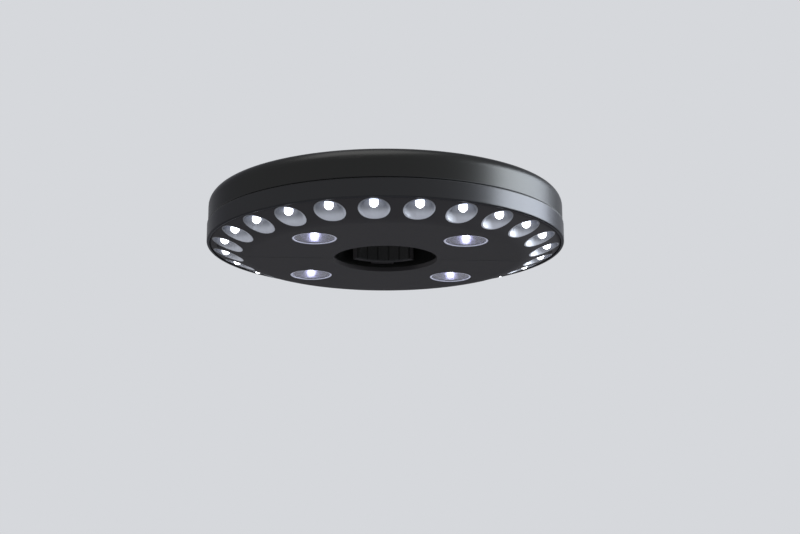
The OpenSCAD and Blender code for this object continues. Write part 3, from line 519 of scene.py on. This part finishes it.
# %% Swept bands
band_low, band_high = (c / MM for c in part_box("rear_rim_band"))
rim_r, wall_r, bend, ledge_r = band_high.y, 106.2, 0.9, 104.9
ledge_low, ledge_high = -8.32, -7.12
chamfer, band_steps = 0.04, 180
outside_wall = [(wall_r, band_high.z), (rim_r - chamfer, band_high.z), (rim_r, band_high.z - chamfer),
                (rim_r, band_high.z - 0.4), (rim_r, band_low.z + bend + 0.3)]
lower_bend = [(rim_r - bend + bend * math.cos(a), band_low.z + bend - bend * math.sin(a))
              for a in (math.pi / 2 * k / 10 for k in range(11))]
inside_wall = [(wall_r + 0.1, band_low.z), (wall_r, band_low.z + 0.1), (wall_r, ledge_low),
               (ledge_r, ledge_low), (ledge_r, ledge_high), (wall_r, ledge_high)]
for half, sign in HALVES.items():
    band = Shape()
    rings = []
    for k in range(band_steps + 1):
        ring = []
        for r, z in outside_wall + lower_bend + inside_wall:
            first = math.asin(band_low.y / r)
            a = first + (math.pi - 2 * first) * k / band_steps
            ring.append((r * math.cos(a), sign * r * math.sin(a), z))
        rings.append(ring)
    band.rows(rings, 0, caps=True)
    band.piece(f"{half}_band_sweep", (band_paint,), f"{half}_half", slot_of[f"{half}_rim_band"],
               f"{half}_rim_band", sharp=20)

# %% [markdown]
# ## Spot lenses
# The window of a spot is a clear cap 26 mm across with a hollow back, which sits just inside the underside
# on a flange. Its flat frosted margin is about 1 mm wide and lies a little below the polished middle.
# A turned profile gives all of that, so a disc with a bevel would not be enough.

# %% Lenses
lens_low, lens_high = (c.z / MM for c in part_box("rear_spot_lenses"))
lens_r, flange_r, bore_r, lens_t, margin = 13.0, 14.3, 12.0, 1.2, 1.0
flange_z, back_z = lens_high - 1.0, lens_low + lens_t
clear = [(0, lens_low + 0.3), (7, lens_low + 0.3), (lens_r - margin - 0.2, lens_low + 0.34)]
frosted = [clear[-1], (lens_r - margin, lens_low + 0.08), (lens_r - margin + 0.12, lens_low),
           (lens_r - 0.2, lens_low), (lens_r, lens_low + 0.2), (lens_r, lens_low + 0.5)]
skirt = [frosted[-1], (lens_r, flange_z), (flange_r - 0.15, flange_z), (flange_r, flange_z + 0.15),
         (flange_r, lens_high - 0.15), (flange_r - 0.15, lens_high), (bore_r + 0.15, lens_high),
         (bore_r, lens_high - 0.15), (bore_r, back_z + 0.2), (bore_r - 0.2, back_z), (6, back_z), (0, back_z)]


spot_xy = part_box("rear_spot_lenses")[1].x / MM - flange_r


def each_spot(sign):
    """The axes of the two spots of one half, in millimetres."""
    return [(side * spot_xy, sign * spot_xy, 0) for side in (-1, 1)]


for half, sign in HALVES.items():
    lenses = Shape()
    for spot in each_spot(sign):
        for profile, finish in ((clear, 0), (frosted, 1), (skirt, 0)):
            lenses.turned(profile, spot, finish, steps=96)
    lenses.piece(f"{half}_lens_pair", (clear_lens, frosted_edge_painted_glow), f"{half}_half", "clear_lens",
                 f"{half}_spot_lenses", sharp=24)

# %% [markdown]
# ## Dishes and lamps of the spots
# Behind each window sits a steep metallised tub, and a lamp with a domed epoxy body hangs in its middle.
# The tub's wall mirrors the lamp as a bright upright streak, which the photograph shows in all four.
# Both are turned shapes. The corners of the tub's profile are kept sharp, because normals smoothed over
# a corner would bend the whole wall's reflection and lose the streak.

# %% Dishes and lamps
(tub_low, tub_high), (lamp_low, lamp_high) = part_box("rear_spot_reflectors"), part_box("rear_spot_leds")
mouth_z, top_z, tip_z, root_z = (v.z / MM for v in (tub_low, tub_high, lamp_low, lamp_high))
mouth_r, floor_r, wall_t, hole_r = 11.3, 10.49, 0.6, 3.4
inside = [(hole_r, top_z - wall_t), (floor_r - 1.2, top_z - wall_t), (floor_r - 0.4, top_z - wall_t - 0.35),
          (floor_r, top_z - wall_t - 1.2), (mouth_r - 0.02, mouth_z + 0.25), (mouth_r + 0.12, mouth_z + 0.05)]
outside = [inside[-1], (mouth_r + wall_t * 0.7, mouth_z), (mouth_r + wall_t, mouth_z + 0.2),
           (mouth_r + wall_t - 0.2, flange_z + 1), (flange_r - 0.1, flange_z + 1), (flange_r, flange_z + 1.1),
           (flange_r, flange_z + 1.7), (flange_r - 0.1, flange_z + 1.8),
           (mouth_r + wall_t - 0.3, flange_z + 1.8), (floor_r + wall_t, top_z - 0.3),
           (floor_r + wall_t - 0.3, top_z), (hole_r, top_z), inside[0]]
dome_r, dome_steps = 2.5, 12


def dome_from(tip):
    """The profile of a lamp's round end, from its tip to the barrel."""
    angles = [math.pi / 2 * k / dome_steps for k in range(dome_steps + 1)]
    return [(dome_r * math.sin(a), tip + dome_r * (1 - math.cos(a))) for a in angles]


dome = dome_from(tip_z)
barrel = [dome[-1], (dome_r, root_z - 0.6), (dome_r, root_z), (0, root_z)]
for half, sign in HALVES.items():
    dishes, lamps = Shape(), Shape()
    for spot in each_spot(sign):
        dishes.turned(inside, spot, steps=96)
        dishes.turned(outside, spot, steps=96)
        lamps.turned(dome, spot, steps=48)
        lamps.turned(barrel, spot, steps=48)
    dishes.piece(f"{half}_dish_pair", (mirror_dish,), f"{half}_half", "mirror_dish",
                 f"{half}_spot_reflectors", sharp=8)
    lamps.piece(f"{half}_spot_lamps", (spot_epoxy,), f"{half}_half", "led_epoxy", f"{half}_spot_leds")

# %% [markdown]
# ## Lamps of the ring
# Each half has twelve 5 mm lamps, one in each cup, every 15 degrees. A lamp is a dome on a barrel with a
# wider collar, which stands on the ring board. The domes end 0.7 mm above those of the solids, because at
# the solids' depth four far ones showed under the rim. Two still show there as specks.

# %% Ring lamps
ring_r, first_angle, cup_step, lamp_count = 97.5, -82.5, 15, 12
collar_r, collar_t, seat_z = 2.8, 1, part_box("rear_ring_leds")[1].z / MM
lamp_form = dome_from(ring_tip / MM)
lamp_form += [(dome_r, seat_z - collar_t), (collar_r - 0.1, seat_z - collar_t),
              (collar_r, seat_z - collar_t + 0.1), (collar_r, seat_z), (0, seat_z)]
for half, sign in HALVES.items():
    lamps = Shape()
    for a in (math.radians(first_angle + cup_step * k) for k in range(lamp_count)):
        lamps.turned(lamp_form, (ring_r * math.sin(a), sign * ring_r * math.cos(a), 0), steps=40)
    lamps.piece(f"{half}_ring_lamps", (led_epoxy,), f"{half}_half", "led_epoxy", f"{half}_ring_leds")


# %% [markdown]
# ## Springs
# A real spring is wound from round wire, with its last turns closed up and square to the axis. The CAD
# coil has flat-sided wire and open ends, so each spring is wound here again in the same space: the pitch
# falls to one wire thickness over the first and the last turn.

# %% Wound springs
def coil_path(radius, length, turns, wire_r, start, direction=1, along="Y", steps=28):
    """A path of points for a spring that starts at a point and runs along an axis, with closed ends."""
    count = int(turns * steps)
    dead = 1.0 / turns
    closed = 2 * wire_r * 1.02 / (length - 2 * wire_r)
    path = []
    for i in range(count + 1):
        t = i / count
        if t < dead:
            share = closed * t / dead
        elif t > 1 - dead:
            share = 1 - closed * (1 - t) / dead
        else:
            share = closed + (1 - 2 * closed) * (t - dead) / (1 - 2 * dead)
        rise = (wire_r + (length - 2 * wire_r) * share) * direction
        a = 2 * math.pi * turns * t
        u, v = radius * math.cos(a), radius * math.sin(a)
        offset = (u, rise, v) if along == "Y" else (rise, u, v)
        path.append(Vector(start) + Vector(offset))
    return path


def travel(joint):
    """How far a sliding joint goes, in metres."""
    return next(j for j in frame["joints"] if j["name"] == joint)["range_m"][1]


spring_low, spring_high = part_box("guide_springs")
spring_len = spring_high.y - spring_low.y
guide_r, guide_wire, guide_turns, guide_x, guide_z = 4.2, 0.45, 14, 56, 7
guide = Shape()
for side in (-1, 1):
    start = (side * guide_x, spring_low.y / MM, guide_z)
    guide.wound(coil_path(guide_r, spring_len / MM, guide_turns, guide_wire, start, steps=24), guide_wire,
                sides=10)
guide_pair = guide.piece("guide_spring_pair", (spring_steel,), "rear_half", "spring_steel",
                         "guide_springs", sharp=60)
(spring_len - travel("front_half_slide")) / spring_len
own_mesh(guide_pair)

jaw_r, jaw_wire, jaw_turns = 3.0, 0.35, 9
for half, sign in HALVES.items():
    low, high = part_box(f"{half}_jaw_spring")
    near = low.y if sign > 0 else high.y
    far = high.y if sign > 0 else low.y
    middle_z = (low.z + high.z) / 2 / MM
    jaw = Shape()
    start = (0, near / MM, middle_z)
    jaw.wound(coil_path(jaw_r, abs(far - near) / MM, jaw_turns, jaw_wire, start, sign), jaw_wire)
    jaw_spring = jaw.piece(f"{half}_jaw_coil", (spring_steel,), None, "spring_steel",
                           f"{half}_jaw_spring", sharp=60)
    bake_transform(jaw_spring)

low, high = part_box("button_spring")
press_r, press_wire, press_turns = 2.6, 0.25, 4
start = (0, low.y / MM, (low.z + high.z) / 2 / MM)
button_coil = Shape()
button_coil.wound(coil_path(press_r, (high.y - low.y) / MM, press_turns, press_wire, start), press_wire)
button_spring = button_coil.piece("button_coil", (spring_steel,), "rear_half", "spring_steel",
                                  "button_spring", sharp=60)
1 - travel("power_button_press") / (high.y - low.y)
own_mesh(button_spring)

# %% [markdown]
# ## Battery cells
# A cell is a drawn can with a plastic sleeve shrunk over its ends. Its positive end has a crimped step
# and a raised nub, and its negative end a shallow dished plate. One profile along X is turned for each
# cell, and mirrored for its neighbour, because the two lie head to tail.

# %% Cells
cell_r, cell_len, nub_r = 7.1, 50.5, 2.7
sleeve = [(cell_r - 1.6, 0.25), (cell_r - 0.9, 0.05), (cell_r - 0.35, 0.1), (cell_r, 0.5), (cell_r, 47.9),
          (cell_r - 0.3, 48.7), (cell_r - 0.8, 49.2), (cell_r - 1.5, 49.35)]
negative = [(0, 0.0), (3.4, 0.0), (3.9, 0.3), (cell_r - 1.6, 0.3)]
positive = [(cell_r - 1.5, 49.2), (nub_r + 0.9, 49.25), (nub_r + 0.3, 49.4), (nub_r, 49.75), (nub_r, 50.2),
            (nub_r - 0.3, cell_len), (0, cell_len)]
for half, sign in HALVES.items():
    low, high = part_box(f"{half}_cells")
    y_places = sorted((low.y / MM + cell_r, high.y / MM - cell_r), key=abs)
    x_low, x_high, axis_z = low.x / MM, high.x / MM, (low.z + high.z) / 2 / MM
    pair = Shape()
    for flip, y in zip((False, True), y_places):
        for profile, finish in ((negative, 1), (sleeve, 0), (positive, 1)):
            spun = [(r, x_low + cell_len - h if flip else x_high - cell_len + h) for r, h in profile]
            pair.turned(spun, (0, y, axis_z), finish, steps=64, axis="X")
    pair.piece(f"{half}_cell_pair", (cell_sleeve, contact_plate), f"{half}_half", "cell_sleeve",
               f"{half}_cells", sharp=28)

# %% [markdown]
# ## Contacts
# At each end of the tray stands a stamped strip of plated steel, with rounded corners and two pressed
# beads that stiffen it. A coil spring soldered to it pushes on the negative end of one cell, and the nub
# of the other cell rests on the bare strip. The strip is an outline with thickness and soft edges.

# %% Stamped strips with coils
coil_gap, coil_r, coil_wire = 5.2, 3.6, 0.35
strip_t, strip_corner, strip_soft = 0.3, 1.5, 0.06
bead_r, bead_half, bead_inset = 0.22, 11, 1.1


def plate_rings(low, high, thin, corner, soft):
    """Rounded outlines of a plate from one face to the other; thin is the number of its thin axis."""
    u, v = (i for i in range(3) if i != thin)
    rings = []
    faces = ((low[thin], soft), (low[thin] + soft, 0), (high[thin] - soft, 0), (high[thin], soft))
    for depth, shrink in faces:
        ring = []
        for k in range(28):
            quarter, a = k // 7, math.pi / 2 * (k // 7 + k % 7 / 6)
            point = Vector((depth, depth, depth))
            round_r = corner - shrink
            point[u] = (high[u] - corner if quarter in (0, 3) else low[u] + corner) + round_r * math.cos(a)
            point[v] = (high[v] - corner if quarter in (0, 1) else low[v] + corner) + round_r * math.sin(a)
            ring.append(point)
        rings.append(ring)
    return rings


for half, sign in HALVES.items():
    (low, high), (cells_low, cells_high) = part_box(f"{half}_contacts"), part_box(f"{half}_cells")
    y_places = sorted((cells_low.y / MM + cell_r, cells_high.y / MM - cell_r), key=abs)
    axis_z = (cells_low.z + cells_high.z) / 2 / MM
    contacts = Shape()
    for side, coil_y in ((-1, y_places[0]), (1, y_places[1])):
        x_face, x_back = side * (high.x / MM - strip_t), side * high.x / MM
        corners = [Vector((x, c.y / MM, c.z / MM)) for x, c in zip(sorted((x_face, x_back)), (low, high))]
        contacts.rows(plate_rings(*corners, 0, strip_corner, strip_soft), 0, caps=True)
        coil = coil_path(coil_r, coil_gap - 0.4, 3.5, coil_wire, (x_face, coil_y, axis_z), -side, "X")
        contacts.wound(coil, coil_wire)
        for z in (low.z / MM + bead_inset, high.z / MM - bead_inset):
            y_mid = (low.y + high.y) / 2 / MM
            bead = [(x_face + side * 0.05, y_mid + bead_half * (k / 10 - 1), z) for k in range(21)]
            contacts.wound(bead, bead_r)
    contacts.piece(f"{half}_contact_pair", (contact_plate,), f"{half}_half", "contact_plate",
                   f"{half}_contacts", sharp=50)

# %% [markdown]
# ## Control board
# The board behind the button carries a chip that steps the light up, and the coil that feeds it. The chip
# is a moulded block on eight bent legs. The coil is a ferrite drum with a few turns of copper round its
# waist. Each gets its own finish, which a single solid can't have.

# %% Board, chip and coil
(board_low, board_high), board_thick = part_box("control_board"), 1.6
board_low, board_high = board_low / MM, board_high / MM
board_face = board_high.y - board_thick
button_low, button_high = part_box("push_switch")
centre_z = (button_low.z + button_high.z) / 2 / MM
board = Shape()
board_corner = Vector((board_low.x, board_face, board_low.z))
board.rows(plate_rings(board_corner, board_high, 1, 0.6, 0.08), 0, caps=True)
chip_low = Vector((-10.4, board_face - 1.55, centre_z - 3))
chip_high = Vector((-5.6, board_face - 0.2, centre_z + 1))
board.rows(plate_rings(chip_low, chip_high, 1, 0.2, 0.12), 1, caps=True)
leg_r, leg_count, leg_pitch = 0.14, 4, 0.9
for edge, out in ((chip_low.x, -1), (chip_high.x, 1)):
    for k in range(leg_count):
        z, y = chip_low.z + 0.65 + leg_pitch * k, (chip_low.y + chip_high.y) / 2
        leg = [(edge - 0.1 * out, y, z), (edge + 0.25 * out, y, z), (edge + 0.32 * out, board_face - 0.2, z),
               (edge + 0.55 * out, board_face - 0.14, z)]
        board.wound(leg, leg_r, 2, sides=8)
drum = [(0, 0), (2.45, 0), (2.6, 0.15), (2.6, 0.75), (2.45, 0.9), (1.9, 0.95), (1.9, 3.05), (2.45, 3.1),
        (2.6, 3.25), (2.6, 3.85), (2.45, 3.95), (0, 3.95)]
drum_foot, drum_x = board_low.y, 8
copper_r, copper_len, copper_turns, copper_wire = 2.1, 2.1, 7, 0.14
board.turned([(r, drum_foot + h) for r, h in drum], (drum_x, 0, centre_z), 1, steps=48, axis="Y")
start = (drum_x, drum_foot + 0.95, centre_z)
board.wound(coil_path(copper_r, copper_len, copper_turns, copper_wire, start), copper_wire, 3, sides=8)
board.piece("control_board_set", (circuit_board, black_plastic, contact_plate, bronze), "rear_half",
            "circuit_board", "control_board", sharp=30)

# %% [markdown]
# ## Wires
# Short insulated wires join the boards. Each leaves its solder joint straight and bows a little, as a
# hand-laid wire does, and its stripped ends sit in a small drop of solder. A round sleeve swept along
# a gentle curve shows that better than the solid's straight rod.

# %% Wires with solder drops
sleeve_r, upright_x, upright_y = 0.65, 29.3, 49.35
for half, sign in HALVES.items():
    low, high = (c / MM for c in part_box(f"{half}_wires"))
    inner, outer = 52.15, high.x - sleeve_r / math.sqrt(2)
    flat_z = low.z + 2.16
    wires = Shape()
    for side in (-1, 1):
        upright = [Vector((side * upright_x, sign * upright_y, z)) for z in (low.z, high.z)]
        level = [Vector((side * reach, sign * reach, flat_z)) for reach in (inner, outer)]
        bows = Vector((0.3 * side, 0, 0)), Vector((0.5 * side, -0.5 * sign, 0))
        for (start, end), bow in zip((upright, level), bows):
            path = [start.lerp(end, k / 16) + bow * math.sin(math.pi * k / 16) for k in range(17)]
            wires.wound(path[1:-1], sleeve_r * 0.92)
            for point, step in ((path[0], path[1] - path[0]), (path[-1], path[-2] - path[-1])):
                run = [point + step * k for k in (0.15, 0.6, 1.3)]
                wires.wound(run, sleeve_r * 0.8, 1)
    wires.piece(f"{half}_wire_set", (wire_sleeve, screw_steel), f"{half}_half", "wire_sleeve",
                f"{half}_wires", sharp=50)

# %% [markdown]
# ## Size, floor and light
# The object hangs from a pole, so the plain pale floor lies well below it. The world is a pale studio:
# the background colour is shown to camera, glossy and see-through rays at strength 1, and the light that
# falls on the object is set apart from it. A broad soft lamp stands to the right, where the rim is
# bright, and a wider one hangs above.

# %% Studio
floor_z, floor_half = -2.0, 6
floor_mesh = bpy.data.meshes.new("floor")
floor_corners = [(x * floor_half, y * floor_half, floor_z) for x, y in ((-1, -1), (1, -1), (1, 1), (-1, 1))]
floor_mesh.from_pydata(floor_corners, [], [(0, 1, 2, 3)])
floor = bpy.data.objects.new("floor", floor_mesh)
floor_paint = Paint("floor_paint", srgb(214, 214, 216), Roughness=0.8)
grit = floor_paint.noise(0.3, 3)
floor_paint.feed("Base Color", floor_paint.blend(grit, srgb(208, 208, 211), srgb(220, 220, 222)))
floor_mesh.materials.append(floor_paint.material)
scene.collection.objects.link(floor)

world = bpy.data.worlds.new("studio")
scene.world = world
world.use_nodes = True
sky = Graph(world.node_tree, "World Output")
rays = ("Camera", "Glossy", "Transmission")
seen = sum(sky.node("LightPath", {}, {}, f"Is {ray} Ray") for ray in rays).clip()
light = sky.node("Background", {}, {"Color": (*srgb(240, 243, 250), 1), "Strength": 0.5})
shown = sky.node("Background", {}, {"Color": (*srgb(214, 216, 220), 1), "Strength": 1.0})
sky.feed("Surface", sky.node("MixShader", {}, {0: seen, 1: light, 2: shown}))


def lamp(name, place, aim, width, height, watts, colour):
    data = bpy.data.lights.new(name, "AREA")
    data.shape, data.size, data.size_y = "RECTANGLE", width, height
    data.energy, data.color = watts, colour
    obj = bpy.data.objects.new(name, data)
    obj.location = place
    obj.rotation_euler = (Vector(aim) - Vector(place)).to_track_quat("-Z", "Y").to_euler()
    scene.collection.objects.link(obj)


lamp("side_lamp", (1.22, 0.04, 0.31), (0, 0, 0), 1.1, 0.9, 56, (0.86, 0.93, 1.0))
lamp("top_lamp", (-0.3, -0.4, 1.6), (0, 0, 0), 1.4, 1.4, 16, (1, 1, 1))
print("studio ready")
